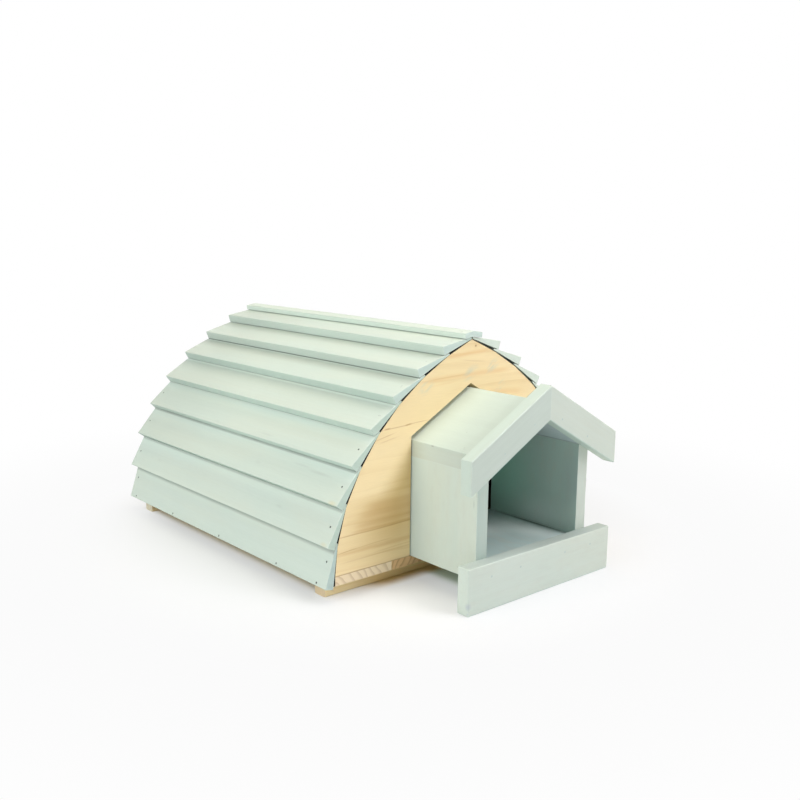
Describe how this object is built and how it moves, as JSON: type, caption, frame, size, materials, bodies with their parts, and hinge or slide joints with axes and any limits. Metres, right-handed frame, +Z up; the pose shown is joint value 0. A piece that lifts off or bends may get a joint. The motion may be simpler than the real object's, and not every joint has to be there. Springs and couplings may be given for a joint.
{
  "type": "hedgehog house",
  "caption": "Pointed-arch wooden shelter for a hedgehog, clad in lapped tapered boards, with a pull-out roofed entrance tunnel.",
  "frame": {"origin": "on the ground, under the middle of the whole object's box with the tunnel at rest", "axes": "+X to the right seen from the entrance side's front view, +Y from the entrance to the rear, +Z up"},
  "size_m": [0.416, 0.57, 0.2753],
  "materials": {
    "painted_timber": "matt sage green water-based paint, brushed",
    "bare_pine": "planed softwood, unfinished",
    "roofing_membrane": "matt black sheet",
    "steel": "dull, darkened",
    "painted_steel": "painted over with the boards"
  },
  "bodies": {
    "house": {"board_left_1": "painted_timber", "board_left_2": "painted_timber", "board_left_3": "painted_timber", "board_left_4": "painted_timber", "board_left_5": "painted_timber", "board_left_6": "painted_timber", "board_left_7": "painted_timber", "board_left_8": "painted_timber", "board_right_1": "painted_timber", "board_right_2": "painted_timber", "board_right_3": "painted_timber", "board_right_4": "painted_timber", "board_right_5": "painted_timber", "board_right_6": "painted_timber", "board_right_7": "painted_timber", "board_right_8": "painted_timber", "ridge_cap_left": "painted_timber", "ridge_cap_right": "painted_timber", "floor_board_1": "bare_pine", "floor_board_2": "bare_pine", "floor_board_3": "bare_pine", "floor_board_4": "bare_pine", "floor_board_5": "bare_pine", "front_batten": "bare_pine", "rear_batten": "bare_pine", "front_gable": "bare_pine", "rear_gable": "bare_pine", "membrane": "roofing_membrane", "cladding_brads": "steel", "eaves_brads": "steel", "cap_brads": "steel", "batten_brads": "steel", "gable_screws": "steel"},
    "tunnel": {"tunnel_wall_left": "painted_timber", "tunnel_wall_right": "painted_timber", "tunnel_floor": "painted_timber", "tunnel_roof_left": "painted_timber", "tunnel_roof_right": "painted_timber", "bargeboard_left": "painted_timber", "bargeboard_right": "painted_timber", "threshold_board": "painted_timber", "tunnel_brads": "painted_steel"}
  },
  "joints": [
    {"name": "tunnel_slide", "type": "slide", "parent": "house", "child": "tunnel", "axis": [0, -1, 0], "range_m": [0, 0.06]}
  ]
}
